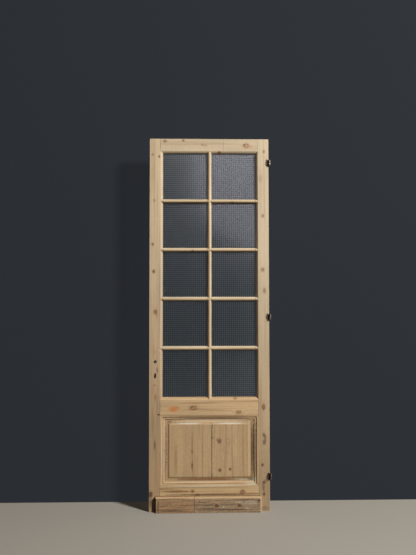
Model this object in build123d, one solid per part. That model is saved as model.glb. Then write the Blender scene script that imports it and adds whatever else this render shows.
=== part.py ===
from build123d import *
import os

# Half glazed pine door leaf: ten panes of pressed glass over one raised and fielded panel, with a
# weatherboard on the foot and the leaf's halves of three lift-off hinges. Millimetres.
# The leaf stands upright. X runs from the lock edge to the hinge edge, whose face is at X = 0. The front
# faces -Y and the leaf's middle is at Y = 0. Z is height above the foot.

# Leaf
LEAF_WIDTH = 762.0
LEAF_HEIGHT = 2362.0
LEAF_THICKNESS = 44.5
EDGE_EASE = 1.5

# Frame members: the flat that shows between a member's outer edge and its moulding
STILE_FACE = 69.0
TOP_RAIL_FACE = 77.0
LOCK_RAIL_FACE = 95.0
LOCK_RAIL_HEIGHT = 602.0
BOTTOM_RAIL_FACE = 154.0

# Moulding and glass rebate, run on every glazed edge
SASH_WIDTH = 16.0
SASH_DEPTH = 15.0
SASH_BOW = 2.4
GLASS_SETBACK = 22.0
REBATE_WIDTH = 9.0

# Glazing bars
BAR_WIDTH = 27.0
BAR_NOSE = 5.0
PANE_ROWS = 5
END_PANE_EXTRA = 9.0
MULLION_OFFSET = 1.0

# Glass and the beads behind it
GLASS_THICKNESS = 5.0
GLASS_CLEARANCE = 1.5
BEAD_WIDTH = 8.5
BEAD_BACK_WIDTH = 5.5
BEAD_DEPTH = 14.0
BEAD_MITRE_GAP = 0.2

# Tenons and wedges
TENON_THICKNESS = 14.0
TENON_SHOULDER = 20.0
TENON_SASH_SHOULDER = 10.0
STUB_TENON = 10.0
STUB_DEPTH = 16.0
WEDGE_THICKNESS = 5.0
WEDGE_LENGTH = 48.0

# Fielded panel
PANEL_SETBACK = 14.0
PANEL_EDGE_THICKNESS = 11.0
PANEL_RISE = 6.5
FIELD_BEVEL = 12.0
FIELD_SIDE_MARGIN = 51.0
FIELD_END_MARGIN = 50.0
GROOVE_DEPTH = 12.0
PANEL_TONGUE = 8.0
PANEL_SLIP = 3.0
PANEL_FIT = 0.15
BOARD_SEAM_OFFSET = 15.0
BOARD_SEAM_GAP = 0.5

# Mouldings round the panel
MOULDING_WIDTH = 36.0
MOULDING_DROP = 1.0
MOULDING_MITRE_GAP = 0.25
BACK_MOULDING_WIDTH = 14.0
BACK_MOULDING_DEPTH = 12.0

# Weatherboard
BOARD_HEIGHT = 100.0
BOARD_THICKNESS = 28.0
BOARD_TOP_DROP = 8.0
BOARD_NOSE = 4.0
BOARD_FOOT_GAP = 1.0
BOARD_LOCK_INSET = 43.0
BOARD_HINGE_INSET = 55.0
BOARD_SHORT_LENGTH = 243.0
BOARD_JOINT_GAP = 1.2
BOARD_END_CHAMFER = 10.0
BOARD_START_CHAMFER = 4.0
DRIP_RADIUS = 3.5
DRIP_INSET = 9.0

# Lock mortise, spindle hole and keyhole
SPINDLE_BACKSET = 38.0
SPINDLE_HEIGHT = 937.0
SPINDLE_RADIUS = 8.25
KEYHOLE_DROP = 85.0
KEYHOLE_RADIUS = 5.5
KEYHOLE_SLOT_WIDTH = 7.0
KEYHOLE_LENGTH = 25.0
LOCK_MORTISE_WIDTH = 17.0
LOCK_MORTISE_DEPTH = 58.0
LOCK_MORTISE_HEIGHT = 160.0
LOCK_MORTISE_DROP = 44.0
FOREND_WIDTH = 25.0
FOREND_HEIGHT = 205.0
FOREND_DEPTH = 3.0

# Hinge halves
HINGE_TOP_DROP = 152.0
HINGE_MIDDLE_HEIGHT = 1219.0
HINGE_BOTTOM_HEIGHT = 217.0
HINGE_FLAP_HEIGHT = 76.0
HINGE_FLAP_WIDTH = 27.0
HINGE_FLAP_THICKNESS = 3.0
KNUCKLE_RADIUS = 5.75
KNUCKLE_HEIGHT = 35.0
KNUCKLE_REACH = 7.0
KNUCKLE_PROUD = 1.5
PIN_BORE_RADIUS = 3.25
NOTCH_WIDTH = 20.0
NOTCH_DEPTH = 9.0
NOTCH_MARGIN = 1.0
NOTCH_FOOT = 10.0

# Places worked out from the sizes above
FRONT = -LEAF_THICKNESS / 2
BACK = LEAF_THICKNESS / 2
LOCK_EDGE = -LEAF_WIDTH
LEFT_SHOULDER = LOCK_EDGE + STILE_FACE
RIGHT_SHOULDER = -STILE_FACE
LEFT_SIGHT = LEFT_SHOULDER + SASH_WIDTH
RIGHT_SIGHT = RIGHT_SHOULDER - SASH_WIDTH
TOP_SHOULDER = LEAF_HEIGHT - TOP_RAIL_FACE
TOP_SIGHT = TOP_SHOULDER - SASH_WIDTH
SILL_SHOULDER = LOCK_RAIL_HEIGHT + LOCK_RAIL_FACE
SILL_SIGHT = SILL_SHOULDER + SASH_WIDTH
MULLION_CENTRE = LOCK_EDGE / 2 + MULLION_OFFSET
BAR_STEM = BAR_WIDTH - 2 * REBATE_WIDTH
GLASS_FRONT = FRONT + GLASS_SETBACK
GLASS_BACK = GLASS_FRONT + GLASS_THICKNESS
PANEL_FRONT = FRONT + PANEL_SETBACK
PANEL_BACK = PANEL_FRONT + PANEL_EDGE_THICKNESS
PANE_HEIGHT = (TOP_SIGHT - SILL_SIGHT - (PANE_ROWS - 1) * BAR_WIDTH - 2 * END_PANE_EXTRA) / PANE_ROWS

# Height of the middle of each cross bar, from the top down
BAR_HEIGHTS = [
    TOP_SIGHT - END_PANE_EXTRA - row * (PANE_HEIGHT + BAR_WIDTH) + BAR_WIDTH / 2
    for row in range(1, PANE_ROWS)
]


def block(x, y, z):
    """Box between two limits along each axis."""
    centre = Pos(sum(x) / 2, sum(y) / 2, sum(z) / 2)
    return centre * Box(x[1] - x[0], y[1] - y[0], z[1] - z[0])


def outline(points):
    """Closed face through (across, depth) points, listed with the solid on the left.

    A third value bows the edge that ends at that point, outwards when it is positive."""
    edges = []
    for start, end in zip(points[-1:] + points[:-1], points):
        if len(end) == 2:
            edges.append(Line(start[:2], end))
            continue
        run, rise, bow = end[0] - start[0], end[1] - start[1], end[2]
        chord = (run**2 + rise**2) ** 0.5
        middle = (
            (start[0] + end[0]) / 2 + bow * rise / chord,
            (start[1] + end[1]) / 2 - bow * run / chord,
        )
        edges.append(ThreePointArc(start[:2], middle, end[:2]))
    return make_face(edges)


def run_section(section, corner, across, length):
    """Extrude a section whose depth lies along +Y and whose first direction is `across`."""
    along = Vector(*across).cross(Vector(0, 1, 0))
    return extrude(Plane(corner, x_dir=across, z_dir=along) * section, length)


def moulded_section(face, flat_start=0.0):
    """Section of a frame member from its outer edge to its moulded and rebated glazed edge."""
    sight = face + SASH_WIDTH
    rebate = sight - REBATE_WIDTH
    return outline([
        (flat_start, 0),
        (face, 0),
        (sight, SASH_DEPTH, SASH_BOW),
        (sight, GLASS_SETBACK),
        (rebate, GLASS_SETBACK),
        (rebate, LEAF_THICKNESS),
        (flat_start, LEAF_THICKNESS),
    ])


def bar_section():
    """Section of a glazing bar: a rounded nose in front, a stem between two rebates behind."""
    half, nose, stem = BAR_WIDTH / 2, BAR_NOSE / 2, BAR_STEM / 2
    return outline([
        (-half, GLASS_SETBACK),
        (-half, SASH_DEPTH),
        (-nose, 0, SASH_BOW),
        (nose, 0),
        (half, SASH_DEPTH, SASH_BOW),
        (half, GLASS_SETBACK),
        (stem, GLASS_SETBACK),
        (stem, LEAF_THICKNESS),
        (-stem, LEAF_THICKNESS),
        (-stem, GLASS_SETBACK),
    ])


def eased_block_section(width):
    """Section of a stile's plain part, its two outer arrises slightly rounded."""
    far = LEAF_THICKNESS
    bow = EDGE_EASE * 0.2
    return outline([
        (EDGE_EASE, 0, bow),
        (width, 0),
        (width, far),
        (EDGE_EASE, far),
        (0, far - EDGE_EASE, bow),
        (0, EDGE_EASE),
    ])


def tenon_limits():
    """Bottom and top of each through tenon."""
    return [
        (TENON_SHOULDER, BOTTOM_RAIL_FACE - TENON_SHOULDER),
        (LOCK_RAIL_HEIGHT + TENON_SHOULDER, SILL_SHOULDER - TENON_SASH_SHOULDER),
        (TOP_SHOULDER + TENON_SASH_SHOULDER, LEAF_HEIGHT - TENON_SHOULDER),
    ]


def through_tenon(low, high):
    """The tenons at both ends of a rail, with the rail's core between them."""
    half = TENON_THICKNESS / 2
    return block((LOCK_EDGE, 0), (-half, half), (low, high))


def wedge(edge, low, high):
    """Taper from `low` at the stile's outer edge to nothing inside, between tenon and mortise."""
    inward = -1 if edge == 0 else 1
    half = TENON_THICKNESS / 2
    corners = [(edge, low), (edge, high), (edge + inward * WEDGE_LENGTH, low)]
    face = make_face(Polyline(*corners, close=True))
    return extrude(Plane((0, half, 0), x_dir=(1, 0, 0), z_dir=(0, -1, 0)) * face, TENON_THICKNESS)


def wedges(edge):
    """Two wedges for each tenon end on one edge of the leaf."""
    pieces = []
    for low, high in tenon_limits():
        pieces.append(wedge(edge, low, low - WEDGE_THICKNESS))
        pieces.append(wedge(edge, high, high + WEDGE_THICKNESS))
    return pieces


def panel_groove(x, z):
    """Groove that the panel's edge sits in."""
    return block(x, (PANEL_FRONT - PANEL_FIT, PANEL_BACK + PANEL_FIT), z)


def stile(edge, across):
    """A stile: plain full height part, and the moulded strip beside the glass."""
    if across > 0:
        body = run_section(eased_block_section(STILE_FACE), (edge, FRONT, 0), (1, 0, 0), LEAF_HEIGHT)
    else:
        top = (edge, FRONT, LEAF_HEIGHT)
        body = run_section(eased_block_section(STILE_FACE), top, (-1, 0, 0), LEAF_HEIGHT)
    strip = moulded_section(STILE_FACE, STILE_FACE - EDGE_EASE)
    start = SILL_SHOULDER if across > 0 else TOP_SHOULDER
    body += run_section(strip, (edge, FRONT, start), (across, 0, 0), TOP_SHOULDER - SILL_SHOULDER)
    inner = edge + across * STILE_FACE
    depth = inner - across * GROOVE_DEPTH
    limits = (BOTTOM_RAIL_FACE - GROOVE_DEPTH, LOCK_RAIL_HEIGHT + GROOVE_DEPTH)
    body -= panel_groove(tuple(sorted((inner, depth))), limits)
    for low, high in tenon_limits():
        body -= through_tenon(low, high)
    for piece in wedges(edge):
        body -= piece
    for height in BAR_HEIGHTS:
        body -= bar_stub(inner, -across, height)
    return body


def stub_limits(shoulder, outward):
    """Reach of a bar's stub tenon, from the rebate's wall into the stile or rail."""
    wall = shoulder - outward * (SASH_WIDTH - REBATE_WIDTH)
    return tuple(sorted((wall, shoulder + outward * STUB_TENON)))


def bar_stub(shoulder, outward, height):
    """Stub tenon of a cross bar, let into a stile."""
    half = BAR_STEM / 2
    depth = (GLASS_FRONT, GLASS_FRONT + STUB_DEPTH)
    return block(stub_limits(shoulder, outward), depth, (height - half, height + half))


def mullion_stub(shoulder, upward):
    """Stub tenon of the mullion, let into a rail."""
    half = BAR_STEM / 2
    x = (MULLION_CENTRE - half, MULLION_CENTRE + half)
    return block(x, (GLASS_FRONT, GLASS_FRONT + STUB_DEPTH), stub_limits(shoulder, upward))


def top_rail(stiles):
    """Top rail, scribed over the moulding of both stiles."""
    length = RIGHT_SHOULDER - LEFT_SHOULDER
    corner = (LEFT_SHOULDER, FRONT, LEAF_HEIGHT)
    rail = run_section(moulded_section(TOP_RAIL_FACE), corner, (0, 0, -1), length)
    rail += through_tenon(*tenon_limits()[2])
    return rail - mullion_stub(TOP_SHOULDER, 1) - stiles[0] - stiles[1]


def lock_rail(stiles):
    """Lock rail: moulded above for the glass, grooved below for the panel."""
    length = RIGHT_SHOULDER - LEFT_SHOULDER
    corner = (RIGHT_SHOULDER, FRONT, LOCK_RAIL_HEIGHT)
    rail = run_section(moulded_section(LOCK_RAIL_FACE), corner, (0, 0, 1), length)
    rail += through_tenon(*tenon_limits()[1])
    groove = (LOCK_RAIL_HEIGHT, LOCK_RAIL_HEIGHT + GROOVE_DEPTH)
    rail -= panel_groove((LEFT_SHOULDER, RIGHT_SHOULDER), groove)
    return rail - mullion_stub(SILL_SHOULDER, -1) - stiles[0] - stiles[1]


def bottom_rail():
    """Bottom rail, grooved above for the panel."""
    x = (LEFT_SHOULDER, RIGHT_SHOULDER)
    rail = block(x, (FRONT, BACK), (0, BOTTOM_RAIL_FACE)) + through_tenon(*tenon_limits()[0])
    return rail - panel_groove(x, (BOTTOM_RAIL_FACE - GROOVE_DEPTH, BOTTOM_RAIL_FACE))


def mullion(rails):
    """Upright bar from rail to rail, scribed over both rails' mouldings."""
    foot = (MULLION_CENTRE, FRONT, SILL_SHOULDER)
    bar = run_section(bar_section(), foot, (1, 0, 0), TOP_SHOULDER - SILL_SHOULDER)
    bar += mullion_stub(TOP_SHOULDER, 1)
    bar += mullion_stub(SILL_SHOULDER, -1)
    return bar - rails[0] - rails[1]


def cross_bar(height, upright, stiles):
    """Left and right length of one cross bar, scribed to the stiles and to the mullion."""
    lengths = []
    for shoulder, outward, side in ((LEFT_SHOULDER, -1, stiles[0]), (RIGHT_SHOULDER, 1, stiles[1])):
        start, end = sorted((shoulder, MULLION_CENTRE))
        bar = run_section(bar_section(), (end, FRONT, height), (0, 0, 1), end - start)
        bar += bar_stub(shoulder, outward, height)
        lengths.append((bar - side - upright).solid())
    return lengths


def pane_openings():
    """Sight size of each pane as (column name, x limits, z limits), row by row from the top."""
    half = BAR_WIDTH / 2
    tops = [TOP_SIGHT] + [height - half for height in BAR_HEIGHTS]
    bottoms = [height + half for height in BAR_HEIGHTS] + [SILL_SIGHT]
    columns = (
        ("left", (LEFT_SIGHT, MULLION_CENTRE - half)),
        ("right", (MULLION_CENTRE + half, RIGHT_SIGHT)),
    )
    return [[(name, x, z) for name, x in columns] for z in zip(bottoms, tops)]


def grown(limits, amount):
    """Limits moved outwards by an amount at both ends."""
    return limits[0] - amount, limits[1] + amount


def pane(x, z):
    """Sheet of glass that overlaps the rebate all round, clear of the rebate's walls."""
    cover = REBATE_WIDTH - GLASS_CLEARANCE
    return block(grown(x, cover), (GLASS_FRONT, GLASS_BACK), grown(z, cover))


def mitred_frame(section, width, x, z, gap):
    """Four mitred strips inside an opening: bottom, top, left, right. Their gap is at each corner."""
    (x0, x1), (z0, z1) = x, z
    runs = (
        ((x1, 0, z0), (0, 0, 1), x1 - x0),
        ((x0, 0, z1), (0, 0, -1), x1 - x0),
        ((x0, 0, z0), (1, 0, 0), z1 - z0),
        ((x1, 0, z1), (-1, 0, 0), z1 - z0),
    )
    corners = (
        ((x0 + gap, z0), (x1 - gap, z0), (x1 - gap - width, z0 + width), (x0 + gap + width, z0 + width)),
        ((x0 + gap, z1), (x1 - gap, z1), (x1 - gap - width, z1 - width), (x0 + gap + width, z1 - width)),
        ((x0, z0 + gap), (x0, z1 - gap), (x0 + width, z1 - gap - width), (x0 + width, z0 + gap + width)),
        ((x1, z0 + gap), (x1, z1 - gap), (x1 - width, z1 - gap - width), (x1 - width, z0 + gap + width)),
    )
    strips = []
    for (corner, across, length), points in zip(runs, corners):
        strip = run_section(section, corner, across, length)
        shape = make_face(Polyline(*points, close=True))
        mitre = extrude(Plane((0, BACK, 0), x_dir=(1, 0, 0), z_dir=(0, -1, 0)) * shape, LEAF_THICKNESS)
        strips.append((strip & mitre).solid())
    return strips


def glazing_beads(x, z):
    """Splayed beads that hold one pane from the back, against the walls of its rebate."""
    far = GLASS_BACK + BEAD_DEPTH
    section = outline([
        (0, GLASS_BACK),
        (BEAD_WIDTH, GLASS_BACK),
        (BEAD_BACK_WIDTH, far),
        (0, far),
    ])
    opening = grown(x, REBATE_WIDTH), grown(z, REBATE_WIDTH)
    return mitred_frame(section, BEAD_WIDTH, *opening, BEAD_MITRE_GAP)


def front_moulding():
    """Moulding round the panel's front: a flat, an ovolo, a quirk, a bead, a hollow and a fillet."""
    width = MOULDING_WIDTH
    top = FRONT + MOULDING_DROP
    depth = PANEL_FRONT - top
    section = outline([
        (0, top + depth),
        (0, top),
        (width * 0.25, top),
        (width * 0.45, top + depth * 0.35, 1.2),
        (width * 0.45, top + depth * 0.5),
        (width * 0.53, top + depth * 0.5),
        (width * 0.53, top + depth * 0.38),
        (width * 0.80, top + depth * 0.70, 1.6),
        (width * 0.94, top + depth * 0.88, -0.6),
        (width, top + depth * 0.88),
        (width, top + depth),
    ])
    x = (LEFT_SHOULDER, RIGHT_SHOULDER)
    z = (BOTTOM_RAIL_FACE, LOCK_RAIL_HEIGHT)
    return mitred_frame(section, width, x, z, MOULDING_MITRE_GAP)


def back_moulding():
    """Quarter round moulding round the panel's back."""
    section = outline([
        (0, PANEL_BACK),
        (BACK_MOULDING_WIDTH, PANEL_BACK),
        (0, PANEL_BACK + BACK_MOULDING_DEPTH, BACK_MOULDING_DEPTH * 0.25),
    ])
    x = (LEFT_SHOULDER, RIGHT_SHOULDER)
    z = (BOTTOM_RAIL_FACE, LOCK_RAIL_HEIGHT)
    return mitred_frame(section, BACK_MOULDING_WIDTH, x, z, MOULDING_MITRE_GAP)


def rectangle_at(x, z, y):
    """Flat rectangle facing the front at depth y."""
    plane = Plane((sum(x) / 2, y, sum(z) / 2), x_dir=(1, 0, 0), z_dir=(0, -1, 0))
    return plane * Rectangle(x[1] - x[0], z[1] - z[0])


def panel_boards():
    """Fielded panel, slipped towards the lock side, parted into two boards at its open seam."""
    x = (LEFT_SHOULDER - PANEL_SLIP, RIGHT_SHOULDER - PANEL_SLIP)
    z = (BOTTOM_RAIL_FACE, LOCK_RAIL_HEIGHT)
    panel = block(grown(x, PANEL_TONGUE), (PANEL_FRONT, PANEL_BACK), grown(z, PANEL_TONGUE))
    low = grown(x, -FIELD_SIDE_MARGIN), grown(z, -FIELD_END_MARGIN)
    high = grown(low[0], -FIELD_BEVEL), grown(low[1], -FIELD_BEVEL)
    panel += loft([rectangle_at(*low, PANEL_FRONT), rectangle_at(*high, PANEL_FRONT - PANEL_RISE)])
    seam = LOCK_EDGE / 2 + BOARD_SEAM_OFFSET
    gap = (seam - BOARD_SEAM_GAP / 2, seam + BOARD_SEAM_GAP / 2)
    cut = block(gap, (2 * FRONT, 2 * BACK), (0, LEAF_HEIGHT))
    return (panel - cut).solids().sort_by(Axis.X)


def weatherboard(start, end, start_chamfer, end_chamfer):
    """One length of weatherboard: sloped top, rounded arris and a drip groove under its front."""
    thick = BOARD_THICKNESS
    slope = BOARD_HEIGHT - BOARD_TOP_DROP
    drip = thick - DRIP_INSET
    section = outline([
        (0, -thick),
        (slope - BOARD_NOSE, -thick),
        (slope + BOARD_TOP_DROP * BOARD_NOSE / thick, BOARD_NOSE - thick, BOARD_NOSE * 0.2),
        (BOARD_HEIGHT, 0),
        (0, 0),
        (0, DRIP_RADIUS - drip),
        (0, -DRIP_RADIUS - drip, -DRIP_RADIUS),
    ])
    board = run_section(section, (end, FRONT, BOARD_FOOT_GAP), (0, 0, 1), end - start)
    for x, inward, chamfer in ((start, 1, start_chamfer), (end, -1, end_chamfer)):
        if chamfer:
            face = FRONT - thick
            corners = [(x, face), (x + inward * chamfer, face), (x, face + chamfer)]
            shape = make_face(Polyline(*corners, close=True))
            board -= extrude(shape, BOARD_FOOT_GAP + BOARD_HEIGHT)
    return board.solid()


def weatherboards():
    """Both lengths, parted by the open saw cut."""
    start = LOCK_EDGE + BOARD_LOCK_INSET
    joint = start + BOARD_SHORT_LENGTH
    end = -BOARD_HINGE_INSET
    return (
        weatherboard(start, joint - BOARD_JOINT_GAP / 2, BOARD_START_CHAMFER, 0),
        weatherboard(joint + BOARD_JOINT_GAP / 2, end, 0, BOARD_END_CHAMFER),
    )


def lock_cuts():
    """Empty lock mortise and forend recess, with the spindle hole and keyhole through both cheeks."""
    half = LOCK_MORTISE_WIDTH / 2
    top = SPINDLE_HEIGHT + LOCK_MORTISE_DROP
    low = top - LOCK_MORTISE_HEIGHT
    pocket = block((LOCK_EDGE, LOCK_EDGE + LOCK_MORTISE_DEPTH), (-half, half), (low, top))
    middle = (low + top) / 2
    forend = block(
        (LOCK_EDGE, LOCK_EDGE + FOREND_DEPTH),
        (-FOREND_WIDTH / 2, FOREND_WIDTH / 2),
        (middle - FOREND_HEIGHT / 2, middle + FOREND_HEIGHT / 2),
    )
    x = LOCK_EDGE + SPINDLE_BACKSET
    across = Rotation(90, 0, 0)
    spindle = Pos(x, 0, SPINDLE_HEIGHT) * across * Cylinder(SPINDLE_RADIUS, LEAF_THICKNESS)
    key = SPINDLE_HEIGHT - KEYHOLE_DROP
    bow = Pos(x, 0, key) * across * Cylinder(KEYHOLE_RADIUS, LEAF_THICKNESS)
    slot_half = KEYHOLE_SLOT_WIDTH / 2
    foot = key + KEYHOLE_RADIUS - KEYHOLE_LENGTH
    slot = block((x - slot_half, x + slot_half), (FRONT, BACK), (foot, key))
    return pocket + forend + spindle + bow + slot


def hinge_heights():
    """Height of each knuckle's middle."""
    return {
        "hinge_top": LEAF_HEIGHT - HINGE_TOP_DROP,
        "hinge_middle": HINGE_MIDDLE_HEIGHT,
        "hinge_bottom": HINGE_BOTTOM_HEIGHT,
    }


def hinge_half(height):
    """Leaf's half of a lift-off hinge: a flap let into the edge and a bored knuckle in front."""
    thick = HINGE_FLAP_THICKNESS
    front = FRONT + NOTCH_DEPTH
    low, top = height - KNUCKLE_HEIGHT / 2, height + KNUCKLE_HEIGHT / 2
    flap = block((-thick, 0), (front, front + HINGE_FLAP_WIDTH), (top - HINGE_FLAP_HEIGHT, top))
    centre = (KNUCKLE_REACH, FRONT - KNUCKLE_PROUD)
    web = Polyline(
        (-thick, front),
        (-thick, front - thick),
        (centre[0] - thick, centre[1] - KNUCKLE_RADIUS / 2),
        (centre[0], centre[1]),
        (centre[0], centre[1] + KNUCKLE_RADIUS * 0.8),
        (0, front),
        close=True,
    )
    knuckle = Pos(*centre) * Circle(KNUCKLE_RADIUS) + make_face(web)
    body = flap + extrude(Plane((0, 0, low)) * knuckle, KNUCKLE_HEIGHT)
    return body - Pos(*centre, height) * Cylinder(PIN_BORE_RADIUS, KNUCKLE_HEIGHT)


def hinge_notch(height):
    """Sloped notch chopped in the front corner of the stile to clear a knuckle."""
    low = height - KNUCKLE_HEIGHT / 2 - NOTCH_FOOT
    corners = [(0, FRONT), (0, FRONT + NOTCH_DEPTH), (-NOTCH_WIDTH, FRONT)]
    shape = make_face(Polyline(*corners, close=True))
    return extrude(Plane((0, 0, low)) * shape, NOTCH_FOOT + KNUCKLE_HEIGHT + NOTCH_MARGIN)


def build_leaf():
    """Every node of the leaf by name."""
    hinges = {name: hinge_half(height) for name, height in hinge_heights().items()}
    lock_side = stile(LOCK_EDGE, 1) - lock_cuts()
    hinge_side = stile(0.0, -1)
    for name, height in hinge_heights().items():
        hinge_side = hinge_side - hinge_notch(height) - hinges[name]
    stiles = (lock_side, hinge_side)
    rails = (lock_rail(stiles), top_rail(stiles))
    upright = mullion(rails)
    nodes = {
        "lock_stile": lock_side,
        "hinge_stile": hinge_side,
        "lock_rail": rails[0],
        "top_rail": rails[1],
        "bottom_rail": bottom_rail(),
        "mullion": upright,
        "wedges_lock_side": wedges(LOCK_EDGE),
        "wedges_hinge_side": wedges(0.0),
    }
    for number, height in enumerate(BAR_HEIGHTS, start=1):
        nodes[f"glazing_bar_{number}"] = cross_bar(height, upright, stiles)
    for number, row in enumerate(pane_openings(), start=1):
        beads = []
        for column, x, z in row:
            nodes[f"glass_{number}_{column}"] = pane(x, z)
            beads += glazing_beads(x, z)
        nodes[f"glazing_beads_{number}"] = beads
    nodes["panel_board_left"], nodes["panel_board_right"] = panel_boards()
    for place, front, back in zip(("bottom", "top", "left", "right"), front_moulding(), back_moulding()):
        nodes[f"panel_moulding_{place}"] = front
        nodes[f"back_moulding_{place}"] = back
    nodes["weatherboard_short"], nodes["weatherboard_long"] = weatherboards()
    return {**nodes, **hinges}


os.makedirs("parts", exist_ok=True)
for node, shape in build_leaf().items():
    solids = shape if isinstance(shape, list) else shape.solids()
    export_step(Compound(children=list(solids)), f"parts/{node}.step")
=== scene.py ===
"""Looks of a stripped, half glazed pine door leaf: pine, pressed glass, old iron, light and camera."""

import logging
import math
from dataclasses import dataclass
from enum import Enum
from typing import Any, Sequence

import bpy
from mathutils import Matrix, Vector


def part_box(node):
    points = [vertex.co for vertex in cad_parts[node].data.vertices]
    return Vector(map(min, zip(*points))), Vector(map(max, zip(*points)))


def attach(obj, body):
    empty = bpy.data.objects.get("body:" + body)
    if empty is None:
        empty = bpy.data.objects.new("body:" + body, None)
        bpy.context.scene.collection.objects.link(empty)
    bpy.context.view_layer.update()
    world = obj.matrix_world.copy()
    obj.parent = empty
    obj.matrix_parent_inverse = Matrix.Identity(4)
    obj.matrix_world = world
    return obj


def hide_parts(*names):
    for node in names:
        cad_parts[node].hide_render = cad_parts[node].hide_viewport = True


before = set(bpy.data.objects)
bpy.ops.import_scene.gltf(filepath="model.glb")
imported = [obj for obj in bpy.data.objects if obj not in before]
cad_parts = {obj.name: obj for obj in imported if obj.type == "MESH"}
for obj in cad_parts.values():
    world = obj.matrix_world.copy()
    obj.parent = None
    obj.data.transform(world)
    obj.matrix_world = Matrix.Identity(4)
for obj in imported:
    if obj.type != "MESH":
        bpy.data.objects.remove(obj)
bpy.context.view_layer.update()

LOG = logging.getLogger("door_leaf")
GROOVE = "groove"
BODY = "root"
HINGES = ("hinge_top", "hinge_middle", "hinge_bottom")
PANE_ROWS = range(1, 6)
BAR_ROWS = range(1, 5)

# Millimetres in a metre
MILLIMETRES = 1000

# X of the leaf's lock edge, in metres, read from the fixed frame
LOCK_EDGE_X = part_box("lock_stile")[0].x

Node, Tree, Socket = bpy.types.Node, bpy.types.NodeTree, bpy.types.NodeSocket
Material, Object = bpy.types.Material, bpy.types.Object
ScreenColour = tuple[int, int, int]
Colour = tuple[float, float, float, float]
Place = tuple[float, float, float]


class Grain(Enum):
    """Which way a board's grain runs."""

    UPRIGHT = "upright"
    LEVEL = "level"


def linear(screen: ScreenColour) -> Colour:
    """The linear colour, opaque, that a shader takes for a colour as it looks on a screen."""
    parts = [value / 255 for value in screen]
    return (*(part / 12.92 if part <= 0.04045 else ((part + 0.055) / 1.055) ** 2.4 for part in parts), 1.0)


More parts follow.
